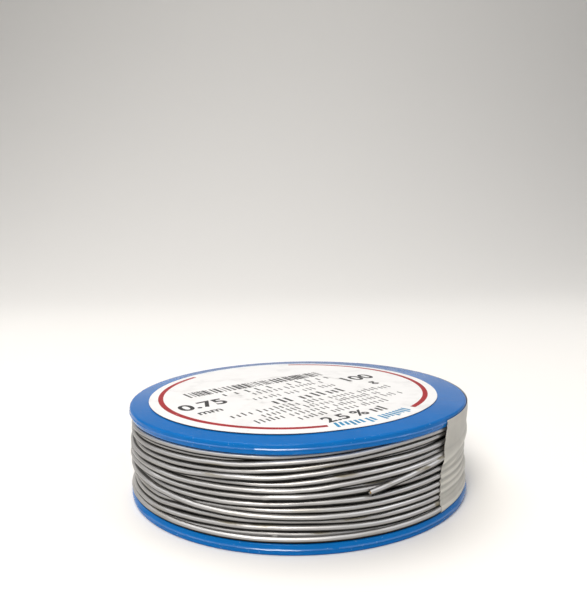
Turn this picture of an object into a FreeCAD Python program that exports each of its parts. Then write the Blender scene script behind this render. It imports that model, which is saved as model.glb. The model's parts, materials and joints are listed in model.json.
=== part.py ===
import FreeCAD, Part
import math
import os

# Spool of flux-cored solder wire, lying on its lower flange. Sizes are in mm. The axis of the spool
# is Z, its underside is z = 0, and azimuths are in degrees from -Y (the front) towards +X.

os.makedirs("parts", exist_ok=True)
Vec = FreeCAD.Vector

# Driving dimensions of the moulded spool
flange_d = 49.0
spool_height = 13.3
bore_d = 18.0
barrel_d = 21.0
rim_thickness = 1.3          # flange at its rim
root_thickness = 1.55        # flange where it meets the barrel: the inner face has draft
rim_edge = 0.25              # broken edges of the rim
mould_step = 0.08            # the channel side of each rim is this much smaller, in radius
bore_chamfer = 0.3

# Driving dimensions of the solder wire and its winding
wire_d = 0.75
wire_sides = 6               # the wire's round section is drawn with this many sides
flux_core_d = 0.31
winding_d = 47.3
turn_gap = 0.43              # clear space between neighbouring turns of the outer layer
seat_gap = 0.02              # between pieces that lie on each other
spans_per_turn = 4           # each span of the wire's line is two arcs
dive_spans = 2
free_end_spans = 9

# Driving dimensions of the label and the tape
label_d = 42.0
label_thickness = 0.12
label_offset = Vec(-0.7, -0.3, 0)   # it is stuck on a little off centre
tape_thickness = 0.1
tape_start = 47.0            # azimuths of the tape's two cut ends
tape_end = 152.0
tape_slack = 0.1             # clear space between the tape and the free end under it
tape_bridge = 1.2            # above the cut face, the tape stands off the turns for this height
tape_foot_gap = 0.19         # between the tape's lower edge and the lower flange

# Where the free end of the wire lies: azimuth and height of its cut face, and of the place where it
# goes on as the topmost turn of the outer layer
cut_azimuth = 17.0
cut_height = 6.6
join_azimuth = 108.0
climb_share = 0.2            # part of that stretch in which it climbs onto the turns
slant_ease = 0.12            # how gently it turns from level to slanting
dive_angle = 20.0            # in which the layer's other end goes down into the layers beneath
join_setback = 1.5           # the free end's last point is this far before the join

# Start hole: a slot through the lower flange, beside the barrel
start_hole_azimuth = 205.0
start_hole_width = 1.0
start_hole_length = 2.4
start_tail_recess = 0.2      # the tail's end stays this far inside the underside

flange_r = flange_d / 2
bore_r = bore_d / 2
barrel_r = barrel_d / 2
wire_r = wire_d / 2
layer_r = winding_d / 2 - wire_r            # centre line of the outer layer of turns
rider_r = layer_r + wire_d + seat_gap       # centre line of a wire that lies on that layer
core_r = layer_r - wire_r - seat_gap        # outside of the layers beneath
lowest_turn = rim_thickness + seat_gap * 2 + wire_r
highest_turn = spool_height - lowest_turn
turn_pitch = wire_d + turn_gap
turn_count = (highest_turn - lowest_turn) / turn_pitch
last_azimuth = join_azimuth + 360 * turn_count
start_tail_r = barrel_r + start_hole_width   # how far from the axis the start hole is


def at(azimuth, radius, height):
    """The point at an azimuth in degrees, a radius and a height."""
    a = math.radians(azimuth)
    return Vec(radius * math.sin(a), -radius * math.cos(a), height)


def arc_or_line(start, corner, end):
    """The arc from start to end whose tangents meet at corner, equally far from both."""
    middle = (start + end) / 2
    half = (end - start).Length / 2
    rise = (corner - middle).Length
    if rise < 1e-5:
        return Part.LineSegment(start, end).toShape()
    leg = math.hypot(half, rise)
    bulge = half * (leg - half) / rise
    return Part.Arc(start, middle + (corner - middle) * (bulge / rise), end).toShape()


def turned(corners, start=0.0, sweep=360.0):
    """The solid that an outline of (radius, height) corners makes as it turns from azimuth start."""
    points = [Vec(radius, 0, height) for radius, height in corners]
    solid = Part.Face(Part.makePolygon(points + points[:1])).revolve(Vec(), Vec(0, 0, 1), sweep)
    solid.rotate(Vec(), Vec(0, 0, 1), start - 90)
    return solid


def wire_section(place, way, outward, radius):
    """The corners of a wire's section at a place, square to way, closed."""
    corner = (outward - way * way.dot(outward)).normalize() * radius
    turn = FreeCAD.Rotation(way, 360 / wire_sides)
    corners = [place + corner]
    for _ in range(wire_sides):
        corner = turn.multVec(corner)
        corners.append(place + corner)
    return Part.makePolygon(corners)


def biarc(start, start_way, end, end_way):
    """Two arcs that join two points and leave them along the two tangents."""
    chord = end - start
    ways = start_way + end_way
    a = 2 * (start_way.dot(end_way) - 1)
    b = -2 * chord.dot(ways)
    c = chord.dot(chord)
    reach = (-b - math.sqrt(b * b - 4 * a * c)) / (2 * a)
    first = start + start_way * reach
    second = end - end_way * reach
    joint = (first + second) / 2
    return [arc_or_line(start, first, joint), arc_or_line(joint, second, end)]


def stations(place, azimuths):
    """The points place(azimuth), and the directions in which the wire passes them."""
    step = 0.01
    points = [place(a) for a in azimuths]
    ways = [(place(a + step) - place(a - step)).normalize() for a in azimuths]
    return points, ways


def wire_along(points, ways):
    """A solder wire through the points, with both ends straight for one diameter of the wire."""
    first = points[0] - ways[0] * wire_d
    last = points[-1] + ways[-1] * wire_d
    edges = [Part.LineSegment(first, points[0]).toShape()]
    for i in range(len(points) - 1):
        edges += biarc(points[i], ways[i], points[i + 1], ways[i + 1])
    edges.append(Part.LineSegment(points[-1], last).toShape())
    spine = Part.Wire(edges)
    section = wire_section(first, ways[0], Vec(first.x, first.y, 0), wire_r)
    return spine, spine.makePipeShell([section], True, False)


def smooth_step(share):
    """Rises from 0 to 1 as share does, with level ends."""
    share = min(1, max(0, share))
    return share * share * (3 - 2 * share)


def layer_turn(azimuth):
    """The outer layer: a helix from under the tape down to the lower flange, where it dives into
    the layers beneath."""
    height = highest_turn - turn_pitch * (azimuth - join_azimuth) / 360
    dive = smooth_step((azimuth - last_azimuth + dive_angle) / dive_angle)
    return at(azimuth, layer_r - (wire_d + seat_gap) * dive, height)


def free_end(azimuth):
    """The wire's last stretch: it climbs out of the layer and slants down over the turns."""
    share = (join_azimuth - azimuth) / (join_azimuth - cut_azimuth)
    level = layer_turn(azimuth).z
    drop = layer_turn(cut_azimuth).z - cut_height
    slant = math.hypot(share, slant_ease) - slant_ease
    full_slant = math.hypot(1, slant_ease) - slant_ease
    climb = smooth_step(share / climb_share)
    return at(azimuth, layer_r + (rider_r - layer_r) * climb, level - drop * slant / full_slant)


def even_steps(first, last, count):
    """The ends of count equal spans from first to last."""
    return [first + (last - first) * i / count for i in range(count + 1)]


def mirrored(lower):
    """The corners of the lower half, from bore to barrel, and those of the upper half after them."""
    return lower + [(radius, spool_height - height) for radius, height in reversed(lower)]


def make_spool():
    """One moulding: two flanges with drafted inner faces on a hollow barrel."""
    inner_rim_r = flange_r - mould_step
    half_rim = rim_thickness / 2
    spool = turned(mirrored([
        (bore_r, bore_chamfer),
        (bore_r + bore_chamfer, 0),
        (flange_r - rim_edge, 0),
        (flange_r, rim_edge),
        (flange_r, half_rim),
        (inner_rim_r, half_rim),
        (inner_rim_r, rim_thickness - rim_edge),
        (inner_rim_r - rim_edge, rim_thickness),
        (barrel_r, root_thickness),
    ]))
    hole_r = start_hole_width / 2
    middle = start_hole_length / 2 - hole_r
    depth = root_thickness * 2
    slot = Part.makeBox(middle * 2, start_hole_width, depth, Vec(-middle, -hole_r, 0))
    for end in (-middle, middle):
        slot = slot.fuse(Part.makeCylinder(hole_r, depth, Vec(end, 0, 0)))
    slot.translate(Vec(0, -start_tail_r, -root_thickness / 2))
    slot.rotate(Vec(), Vec(0, 0, 1), start_hole_azimuth)
    return spool.cut(slot.removeSplitter())


def make_inner_turns(outer_turns):
    """The layers beneath the outer one, as one plain ring between the flanges, with the groove
    where the outer layer comes up out of them."""
    foot = root_thickness + seat_gap
    return turned(mirrored([(barrel_r + seat_gap, foot), (core_r, foot)])).cut(outer_turns)


def make_outer_turns():
    """The outer layer of turns, as one unbroken wire."""
    turning = even_steps(join_azimuth, last_azimuth - dive_angle, math.ceil(turn_count * spans_per_turn))
    diving = even_steps(last_azimuth - dive_angle, last_azimuth, dive_spans)
    return wire_along(*stations(layer_turn, turning + diving[1:]))


def make_free_end():
    """The free end of the wire, with the hole of its flux core at the cut face."""
    points, ways = stations(free_end, even_steps(cut_azimuth, join_azimuth, free_end_spans)[:-1])
    join, join_way = stations(layer_turn, [join_azimuth])
    points.append(join[0] - join_way[0] * join_setback)
    ways.append(join_way[0])
    spine, wire = wire_along(points, ways)
    start = spine.Edges[0].firstVertex().Point
    section = wire_section(start, ways[0], Vec(start.x, start.y, 0), flux_core_d / 2)
    core = Part.Face(section).extrude(ways[0] * wire_d)
    return spine, wire.cut(core), core


def make_label():
    """The round paper label, stuck on the upper flange and over the bore."""
    return Part.makeCylinder(label_d / 2, label_thickness, Vec(0, 0, spool_height) + label_offset)


def make_tape():
    """The tape from the upper rim over the wire, which stands off where the free end lies."""
    rim_r = flange_r + seat_gap
    over_free_end_r = rider_r + wire_r + tape_slack
    on_turns_r = winding_d / 2 + seat_gap * 2
    inner = [
        (rim_r, spool_height - rim_edge),
        (rim_r, spool_height - rim_thickness),
        (over_free_end_r, cut_height + tape_bridge),
        (on_turns_r, cut_height - wire_r),
        (on_turns_r, rim_thickness + tape_foot_gap),
    ]
    outer = [(radius + tape_thickness, height) for radius, height in reversed(inner)]
    return turned(inner + outer, tape_start, tape_end - tape_start)


def make_start_tail():
    """The first end of the wire, which the start hole in the lower flange holds."""
    place = at(start_hole_azimuth, start_tail_r, start_tail_recess)
    section = wire_section(place, Vec(0, 0, 1), Vec(place.x, place.y, 0), wire_r)
    return Part.Face(section).extrude(Vec(0, 0, root_thickness + seat_gap - start_tail_recess))


def least_self_gap(spine):
    """The least clear space between turns, measured on points of the wire's centre line."""
    spacing = 0.4
    points = spine.discretize(Distance=spacing)
    half_a_turn = int(math.pi * layer_r / spacing)
    least = min(
        (points[i] - points[j]).Length
        for i in range(len(points))
        for j in range(i + half_a_turn, min(len(points), i + 3 * half_a_turn))
    )
    return least - wire_d


outer_spine, outer_turns = make_outer_turns()
end_spine, wire_end, flux_core = make_free_end()
pieces = {
    "spool": make_spool(),
    "inner_turns": make_inner_turns(outer_turns),
    "outer_turns": outer_turns,
    "free_wire_end": wire_end,
    "flux_core": flux_core,
    "wire_start": make_start_tail(),
    "face_label": make_label(),
    "holding_tape": make_tape(),
}

for name, shape in pieces.items():
    shape.exportStep("parts/" + name + ".step")
    print(name, "valid", shape.isValid(), "solids", len(shape.Solids), "volume", round(shape.Volume, 3))
for name, spine, shape in (("outer turns", outer_spine, outer_turns), ("free end", end_spine, wire_end)):
    ratio = shape.Volume / (math.pi * wire_r ** 2 * spine.Length)
    print(name, "length", round(spine.Length, 1), "volume against section times length", round(ratio, 4))
print("turns", round(turn_count, 2), "least gap", round(least_self_gap(outer_spine), 3))
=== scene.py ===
"""Looks of a small spool of flux-cored solder wire, laid out as a Blender add-on.

Lengths are in metres. Azimuths are in degrees from the front (-Y) towards +X.
"""

import json
import math

import bpy
import numpy as np
from mathutils import Matrix, Vector


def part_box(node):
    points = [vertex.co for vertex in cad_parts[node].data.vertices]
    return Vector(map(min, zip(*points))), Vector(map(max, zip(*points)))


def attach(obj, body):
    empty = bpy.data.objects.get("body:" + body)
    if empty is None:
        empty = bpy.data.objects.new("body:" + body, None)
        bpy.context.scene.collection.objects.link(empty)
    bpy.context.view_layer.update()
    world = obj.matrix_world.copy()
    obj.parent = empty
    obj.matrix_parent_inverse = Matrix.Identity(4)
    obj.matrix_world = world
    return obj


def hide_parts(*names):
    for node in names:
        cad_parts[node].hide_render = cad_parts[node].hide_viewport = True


bl_info = {
    "name": "Solder Wire Spool",
    "version": (1, 0, 0),
    "blender": (4, 5, 0),
    "location": "View3D > Sidebar > Solder Spool",
    "description": "Builds a spool of solder wire, its label, its tape and a studio stage",
    "category": "Object",
}

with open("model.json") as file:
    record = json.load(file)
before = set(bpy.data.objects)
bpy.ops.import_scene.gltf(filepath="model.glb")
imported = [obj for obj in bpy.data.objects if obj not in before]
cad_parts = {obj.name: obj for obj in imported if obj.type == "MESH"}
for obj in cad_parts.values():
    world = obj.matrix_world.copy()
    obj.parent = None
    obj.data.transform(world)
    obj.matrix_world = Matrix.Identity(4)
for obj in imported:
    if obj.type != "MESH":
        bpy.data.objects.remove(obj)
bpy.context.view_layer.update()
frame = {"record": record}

MM = 0.001

# The spool, from the frame
SPOOL_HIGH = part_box("spool")[1]
FLANGE_R = min(SPOOL_HIGH.x, SPOOL_HIGH.y) - 0.002 * MM
SPOOL_TOP = SPOOL_HIGH.z
LABEL_LOW, LABEL_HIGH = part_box("face_label")
LABEL_CENTRE = (LABEL_LOW + LABEL_HIGH) / 2
LABEL_R = (LABEL_HIGH.x - LABEL_LOW.x) / 2
BORE_R = frame["record"]["mounts"][0]["dims"]["r_mm"] * MM
BARREL_R = 10.5 * MM
RIM_THICKNESS = 1.3 * MM
ROOT_THICKNESS = 1.55 * MM
RIM_ROUNDING = 0.2 * MM
RIM_SETBACK = 0.085 * MM         # the rim's outer half lies this far inside its parting line
MOULD_STEP = 0.10 * MM           # and its inner half this far
DRAFT = 0.15 * MM                # by which the inner half narrows towards the winding
FLASH = 0.06 * MM                # thickness of the thin flash that stands out at the parting line
FLASH_REACH = 0.07 * MM          # faces nearer than this to the flange's edge belong to the flash
SATIN, GLOSSY = 0.10, 0.8        # how strongly the moulding and its flash mirror
NICKED_R = (24.15, 24.45)        # radii in mm between which the nicks of the rims set in
SEGMENTS = 360                   # of the moulding's circles
BORE_CHAMFER = 0.3 * MM
TILT = 0.15 * MM                 # the upper flange leans: its left side is this much lower
TILT_AZIMUTH = 80.0              # where it is highest
BEND = 0.35 * MM                 # it is bent up by this much where strands are jammed under its rim
BEND_AZIMUTH, BEND_WIDTH = 35.0, 33.0

# The slot in the lower flange that holds the wire's first end
START_AZIMUTH = 205.0
START_R = 11.5 * MM
START_WIDTH = 1.0 * MM
START_LENGTH = 2.4 * MM

# The label's print, with y up the label: rows of strokes from one x to another, their foot, their height,
# and the strokes' width and pitch, in mm
INK_THICKNESS = 0.008 * MM
RING_OFFSET = 0.3 * MM           # the red ring is printed this far behind the label's middle
PRINT_ROWS = (
    (-9.9, 9.2, 2.7, 1.7, 0.34, 1.75),
    (-6.0, 6.4, 0.8, 1.6, 0.26, 0.80),
    (-7.6, 7.2, -2.0, 1.5, 0.24, 0.78),
    (-6.4, 6.5, -5.6, 2.3, 0.46, 1.15),
    (-14.4, 13.0, -7.8, 1.5, 0.26, 0.80),
    (-11.0, 9.0, -9.8, 1.5, 0.24, 0.76),
    (-13.0, 11.3, -11.7, 1.5, 0.24, 0.76),
    (-8.0, 6.7, -13.7, 1.5, 0.24, 0.76),
    (1.4, 4.8, -16.85, 2.1, 0.42, 0.90),
)
# The field of bars: from one x to another, its foot and head, and the narrowest bar or gap, in mm
BARS_LEFT, BARS_RIGHT, BARS_FOOT, BARS_HEAD = -14.2, 9.6, 5.15, 8.05
BAR_MODULE = 0.16
# The ring and the row of dashes near the rim: radii in mm, and azimuths in degrees
RED_RING, RED_ARCS = (19.04, 19.76), ((20, 148), (203, 338))
DASH_FOOT, DASH_HEAD, TALL_DASH_HEAD = 18.2, 19.6, 20.0
DASH_GROUPS = ((-19, -8), (-5.5, -2), (1, 16))
DASH_WIDTH, DASH_PITCH = 1.2, 2.1

# The winding
STEPS = 240                      # places along one turn
LAYER_R = 23.58 * MM             # centre line of the outer layer
UNDER_R = 22.88 * MM             # centre line of the layer beneath
PRESSED_R = 23.72 * MM           # the tape presses the strands of the outer layer towards this
WOUND_R = 23.0                   # about the winding's radius in mm, for the grain along the wire
UNDER_COUNT = 13                 # turns of the layer beneath
WIRE_CLEARANCE = 0.378 * MM      # from a flange to the centre line of a wire that touches it
LOWEST = RIM_THICKNESS + WIRE_CLEARANCE
HIGHEST = SPOOL_TOP - LOWEST
FREE_END_JOIN = 108.0            # azimuth at which the free end becomes the topmost turn
FREE_END_CLEAR = 120             # up to here its height isn't held between the flanges
CUT_AZIMUTH = 17.0
SWEEPS, EASED_SWEEPS = 140, 110  # in which the strands settle, and those of them that also ease back
OUTWARD, INWARD = 0.72, -0.28    # shares of a push that the outer and the inner of two strands take
PRESS_STARTS, PRESS_ENDS = (42, 50), (160, 150)   # azimuths from no press of the tape to its full press
TAPE_PRESS = 0.55                # share of the way to PRESSED_R
LAST_STRETCH = ((100, 1.70), (160, 1.75))   # azimuths and heights in mm, past the last strand in front
LAST_AZIMUTH = 148               # where the wire ends there
PLUNGE, PLUNGE_ANGLE = 1.0 * MM, 40   # it goes inwards by this much over its last degrees

# Where the strands of the outer layer are seen to lie, in mm, at these azimuths in front, from the top
# down, by somebody who looks down on them by VIEW_SLOPE and takes them all to lie at SEEN_R. The first
# number says which lies on which where two come together: the higher one lies outside.
SEEN_R = 23.95 * MM
VIEW_SLOPE = 0.36
FRONT_STATIONS = (-70, -60, -50, -40, -30, -20, -10, 0, 10, 20, 30, 40, 50)
STRANDS = (
    (3, 10.75, 10.95, 11.05, 11.12, 11.15, 11.18, 11.22, 11.35, 11.50, 11.60, 11.60, 11.60, 11.60),
    (1, 10.25, 10.40, 10.50, 10.60, 10.65, 10.72, 10.90, 11.10, 11.25, 11.40, 11.55, 11.60, 11.60),
    (4, 9.50, 9.62, 9.80, 9.90, 10.02, 10.15, 10.50, 10.76, 11.08, 11.45, 11.68, 11.76, 11.76),
    (3, 8.65, 8.78, 8.93, 9.06, 9.22, 9.35, 9.68, 10.00, 10.42, 10.76, 10.92, 11.02, 11.08),
    (5, 7.95, 8.00, 8.12, 8.22, 8.48, 8.70, 8.80, 9.20, 9.60, 9.78, 9.85, 9.90, 9.98),
    (3, 7.65, 7.75, 7.78, 7.90, 7.98, 8.05, 8.00, 8.28, 8.65, 8.88, 9.02, 9.12, 9.20),
    (4, 7.10, 7.08, 7.18, 7.20, 7.27, 7.30, 7.32, 7.46, 7.82, 8.10, 8.28, 8.42, 8.50),
    (6, 6.40, 6.45, 6.45, 6.40, 6.42, 6.45, 6.57, 6.70, 6.85, 6.90, 6.86, 6.88, 6.86),
    (3, 5.65, 5.70, 5.60, 5.60, 5.60, 5.68, 5.76, 5.90, 5.90, 5.85, 5.90, 5.92, 5.88),
    (6, 5.00, 5.10, 4.87, 4.72, 4.50, 4.35, 4.30, 4.25, 4.20, 4.22, 4.22, 4.12, 4.00),
    (2, 4.35, 4.25, 4.13, 4.45, 4.90, 5.02, 5.02, 5.08, 5.00, 4.97, 5.02, 4.95, 4.85),
    (3, 3.35, 3.28, 3.32, 3.65, 3.75, 3.72, 3.80, 3.78, 3.60, 3.45, 3.42, 3.33, 3.22),
    (5, 2.30, 2.35, 2.42, 2.65, 2.85, 2.95, 3.05, 3.00, 2.85, 2.68, 2.58, 2.50, 2.42),
    (4, 1.75, 1.69, 1.69, 1.80, 2.05, 2.18, 2.28, 2.22, 2.15, 2.00, 1.80, 1.75, 1.72),
    (6, 1.69, 1.69, 1.69, 1.69, 1.69, 1.69, 1.69, 1.69, 1.69, 1.69, 1.69, 1.69, 1.69),
)
# Strands that go down into the layer beneath: their row, from one azimuth to the next, and how far in mm
SUNK = ((0, -10, 10, 0.75), (1, -26, -8, 1.5))
SUNK_END = (232, 268)            # where they come up again, on the left
RANK_HOLDS = 120                 # past this azimuth a strand's number turns slowly into the next one's
BACK_STATIONS = (155, 212)
BACK_TOP = 11.32                 # the other strands lie evenly behind, from this height in mm
BACK_PITCH = 0.80
# The free end: azimuths and heights in mm, from its cut face to where it joins the topmost turn
FREE_END = (
    (17, 6.50), (20, 6.75), (25, 7.15), (30, 7.45), (35, 7.70), (40, 7.88), (45, 8.05), (50, 8.22),
    (80, 9.20), (108, 10.35), (140, 11.15), (180, 11.32))
FREE_END_RANK = 20
# The tape
TAPE_COLUMNS, TAPE_ROWS = 150, 96
TAPE_FOOT, TAPE_HEAD = RIM_THICKNESS + 0.12 * MM, SPOOL_TOP - 0.42 * MM
FINE_LEVELS = 260                # heights at which its drape is worked out
TAPE_LEAN = -3.3                 # degrees by which the foot of its left edge lies further left
RIDGE_ROWS = 11                  # a ridge stands out from the mean of this many rows
BRIDGE_HEIGHTS = (6.5 * MM, 9.0 * MM)   # between these the radius of its bridges over the strands
BRIDGE_RADII = (0.42 * MM, 4.0 * MM)    # grows from the first of these to the second
# Creases of the tape: their first and last azimuth, foot and rise in mm, and how far they stand out in mm
CREASES = (
    (56, 92, 7.7, 2.9, 0.16), (50, 70, 6.6, 1.3, 0.08), (62, 88, 6.0, 1.4, 0.07), (95, 135, 8.9, -1.8, 0.12),
    (118, 146, 5.6, 1.2, 0.08))
# Flux residue between the strands: azimuth, height in mm, half width in degrees, half height in mm
STAINS = (
    (-25, 9.9, 4.5, 0.14), (-26, 8.7, 4.0, 0.18), (-30, 8.1, 3.0, 0.14), (-12, 3.25, 4.5, 0.16),
    (-13, 4.0, 3.5, 0.14), (-23, 3.2, 4.5, 0.18), (5, 2.3, 4.5, 0.16), (2, 4.7, 5.0, 0.12),
    (9, 10.0, 5.5, 0.22), (10, 8.85, 4.0, 0.2), (12, 3.6, 6.0, 0.1), (35, 8.0, 3.0, 0.2),
    (43.5, 2.5, 1.8, 0.4), (43, 3.7, 1.8, 0.25), (44, 8.35, 2.0, 0.16), (20, 7.3, 4.0, 0.15),
    (130, 6.1, 9.0, 0.3), (-120, 4.6, 8.0, 0.25), (-150, 8.2, 7.0, 0.2), (170, 3.4, 8.0, 0.2))

# The stage
AIR_LIGHT = 0.16                 # strength of the world's light, which is seen and mirrored as white
AIR_COLOUR = (0.97, 0.98, 1.0, 1)
LAMPS = (                        # name, place and diameter in metres, power in watts, and colour
    ("key", (-0.15, -0.39, 0.42), 0.30, 2.4, (1.0, 0.94, 0.87)),
    ("overhead", (-0.14, 0.10, 0.55), 0.45, 1.65, (1.0, 0.98, 0.97)),
    ("left", (-0.5, -0.10, 0.35), 0.3, 0.15, (1.0, 0.99, 0.97)),
    ("fill", (0.40, -0.12, 0.50), 0.30, 0.40, (0.95, 0.97, 1.0)),
    ("backdrop", (0, 0.30, 0.75), 0.6, 0.75, (1.0, 0.99, 0.98)),
)
SPOOL_AIM, BACKDROP_AIM = (0, 0, 6 * MM), (0, 0.85, 0.28)
FLOOR_WIDTH, FLOOR_DEPTH, BACKDROP_HEIGHT, BACKDROP_SWEEP = 3.0, 1.6, 1.2, 0.5   # in metres
# The photograph's camera: its place in mm, how it is turned in degrees, and its focal length in pixels
CAMERA_PLACE = (-0.36, -91.57, 35.12)
CAMERA_AZIMUTH, CAMERA_TILT, CAMERA_ROLL = -2.4, 4.847, -0.997
PHOTO_HEIGHT, FOCAL_PIXELS = 592, 620.8


class SpoolSizes(bpy.types.PropertyGroup):
    wire_diameter: bpy.props.FloatProperty(
        name="Wire diameter", description="Outer diameter of the solder wire", default=0.75 * MM,
        unit="LENGTH", precision=5)
    flux_diameter: bpy.props.FloatProperty(
        name="Flux core diameter", description="Diameter of the core that shows in the cut face",
        default=0.31 * MM, unit="LENGTH", precision=5)
    tape_thickness: bpy.props.FloatProperty(
        name="Tape thickness", description="Thickness of the holding tape", default=0.06 * MM,
        unit="LENGTH", precision=5)
    tape_start: bpy.props.FloatProperty(
        name="Tape start", description="Azimuth of the tape's left edge, in degrees", default=46.8)
    tape_end: bpy.props.FloatProperty(
        name="Tape end", description="Azimuth of the tape's right edge, in degrees", default=151.0)
    label_turn: bpy.props.FloatProperty(
        name="Label turn", description="How far the label is turned, counter-clockwise from above",
        default=math.radians(32), subtype="ANGLE")
    wire_number: bpy.props.StringProperty(
        name="Wire number", description="Plain number for the wire's diameter in mm", default="0.75")
    weight_number: bpy.props.StringProperty(
        name="Weight number", description="Plain number for the solder's weight in g", default="100")
    flux_number: bpy.props.StringProperty(
        name="Flux number", description="Plain number for the flux's share in percent", default="2.5")


class SpoolColours(bpy.types.PropertyGroup):
    plastic: bpy.props.FloatVectorProperty(
        name="Spool plastic", description="Blue of the moulding", subtype="COLOR", size=3,
        default=(0.001, 0.140, 0.465))
    solder: bpy.props.FloatVectorProperty(
        name="Solder", description="Reflected colour of the wire", subtype="COLOR", size=3,
        default=(0.64, 0.63, 0.62))
    paper: bpy.props.FloatVectorProperty(
        name="Label paper", description="Warm white of the label", subtype="COLOR", size=3,
        default=(0.87, 0.87, 0.87))
    black_ink: bpy.props.FloatVectorProperty(
        name="Black ink", description="Ink of the numbers and rules", subtype="COLOR", size=3,
        default=(0.018, 0.018, 0.020))
    red_ink: bpy.props.FloatVectorProperty(
        name="Red ink", description="Ink of the ring", subtype="COLOR", size=3,
        default=(0.300, 0.008, 0.014))
    blue_ink: bpy.props.FloatVectorProperty(
        name="Blue ink", description="Ink of the rule in the ring's lower gap", subtype="COLOR", size=3,
        default=(0.010, 0.200, 0.380))
    flux: bpy.props.FloatVectorProperty(
        name="Flux", description="Amber rosin of the core", subtype="COLOR", size=3,
        default=(0.50, 0.28, 0.07))
    residue: bpy.props.FloatVectorProperty(
        name="Residue", description="Dirt and old flux between the strands", subtype="COLOR", size=3,
        default=(0.30, 0.24, 0.09))
    tape: bpy.props.FloatVectorProperty(
        name="Tape", description="Matte film of the tape", subtype="COLOR", size=3,
        default=(0.49, 0.48, 0.445))
    floor: bpy.props.FloatVectorProperty(
        name="Floor", description="Pale floor and backdrop", subtype="COLOR", size=3,
        default=(0.95, 0.94, 0.915))


# Modelling by hand

def start_fresh():
    """Leaves edit mode and deselects everything."""
    if bpy.context.mode != "OBJECT":
        bpy.ops.object.mode_set(mode="OBJECT")
    bpy.ops.object.select_all(action="DESELECT")


def activate(piece):
    start_fresh()
    piece.select_set(True)
    bpy.context.view_layer.objects.active = piece


def place_in_mesh(piece):
    """Moves the object's place, turn and scale into its mesh."""
    activate(piece)
    bpy.ops.object.transform_apply(location=True, rotation=True, scale=True)


def pick(piece, kind, wanted):
    """Selects the vertices, edges or faces of the piece for which wanted is true, and enters edit mode."""
    activate(piece)
    mesh = piece.data
    for group in (mesh.vertices, mesh.edges, mesh.polygons):
        group.foreach_set("select", [False] * len(group))
    chosen = {"VERT": mesh.vertices, "EDGE": mesh.edges, "FACE": mesh.polygons}[kind]
    for item in chosen:
        item.select = wanted(item)
    bpy.ops.object.mode_set(mode="EDIT")
    bpy.ops.mesh.select_mode(type=kind)


def turn_outline(name, outline, segments, closed=True):
    """Turns an outline of (radius, height) about Z: a circle is extruded and resized from one point of it
    to the next, and the last ring is bridged to the first."""
    start_fresh()
    radius, height = outline[0]
    bpy.ops.mesh.primitive_circle_add(vertices=segments, radius=radius, location=(0, 0, height))
    piece = bpy.context.object
    piece.name = name
    place_in_mesh(piece)
    bpy.ops.object.mode_set(mode="EDIT")
    bpy.ops.mesh.select_all(action="SELECT")
    for next_radius, next_height in outline[1:]:
        bpy.ops.mesh.extrude_edges_move(TRANSFORM_OT_translate={"value": (0, 0, next_height - height)})
        share = next_radius / radius
        bpy.ops.transform.resize(value=(share, share, 1), center_override=(0, 0, next_height))
        radius, height = next_radius, next_height
    if closed:
        bpy.ops.mesh.select_all(action="DESELECT")
        bpy.ops.mesh.select_non_manifold()
        bpy.ops.mesh.bridge_edge_loops()
    return face_outwards(piece)


def face_outwards(piece):
    activate(piece)
    bpy.ops.object.mode_set(mode="EDIT")
    bpy.ops.mesh.select_all(action="SELECT")
    bpy.ops.mesh.remove_doubles(threshold=1e-7)
    bpy.ops.mesh.normals_make_consistent(inside=False)
    bpy.ops.object.mode_set(mode="OBJECT")
    return piece


def on_ring(piece, edge, radius, height, reach):
    """Whether both ends of the edge lie within reach of the ring round Z at a radius and a height."""
    ends = [piece.data.vertices[i].co for i in edge.vertices]
    return all(abs(math.hypot(p.x, p.y) - radius) < reach and abs(p.z - height) < reach for p in ends)


def bevel_rings(piece, rings, width, segments):
    """Rounds the piece's edges that run round Z at each (radius, height)."""
    for radius, height in rings:
        pick(piece, "EDGE", lambda e: on_ring(piece, e, radius, height, 0.004 * MM))
        bpy.ops.mesh.bevel(offset=width, segments=segments, profile=0.5)
        bpy.ops.object.mode_set(mode="OBJECT")


def fill_ring(piece, radius, height):
    """Closes the open ring at a radius and a height with a fan of triangles."""
    pick(piece, "EDGE", lambda e: on_ring(piece, e, radius, height, 0.01 * MM))
    bpy.ops.mesh.edge_face_add()
    bpy.ops.mesh.poke()
    bpy.ops.object.mode_set(mode="OBJECT")


def grid(columns, rows):
    """A flat grid from -1 to 1 both ways, whose points are then put where they belong."""
    start_fresh()
    bpy.ops.mesh.primitive_grid_add(x_subdivisions=columns, y_subdivisions=rows, size=2)
    return bpy.context.object


def thicken(sheet, thickness):
    """Gives a sheet its thickness, half of it on either side."""
    activate(sheet)
    thick = sheet.modifiers.new("thickness", "SOLIDIFY")
    thick.thickness = thickness
    thick.offset = 0
    bpy.ops.object.modifier_apply(modifier=thick.name)
    return face_outwards(sheet)


def smooth(piece, angle=60):
    activate(piece)
    bpy.ops.object.shade_smooth_by_angle(angle=math.radians(angle))
    return piece


def join(name, pieces):
    start_fresh()
    for piece in pieces:
        piece.select_set(True)
    bpy.context.view_layer.objects.active = pieces[0]
    bpy.ops.object.join()
    pieces[0].name = name
    return pieces[0]


def finish_piece(piece, material, slot, *nodes):
    """Gives the piece its material, lets it ride on the body, and lets it stand for CAD nodes."""
    if material is not None:
        piece.data.materials.clear()
        piece.data.materials.append(material)
    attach(piece, "root")
    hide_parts(*nodes)


def place_at(azimuth, radius, height=0.0):
    """The place at an azimuth in degrees, a distance from the axis and a height."""
    angle = math.radians(azimuth)
    return radius * math.sin(angle), -radius * math.cos(angle), height


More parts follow.
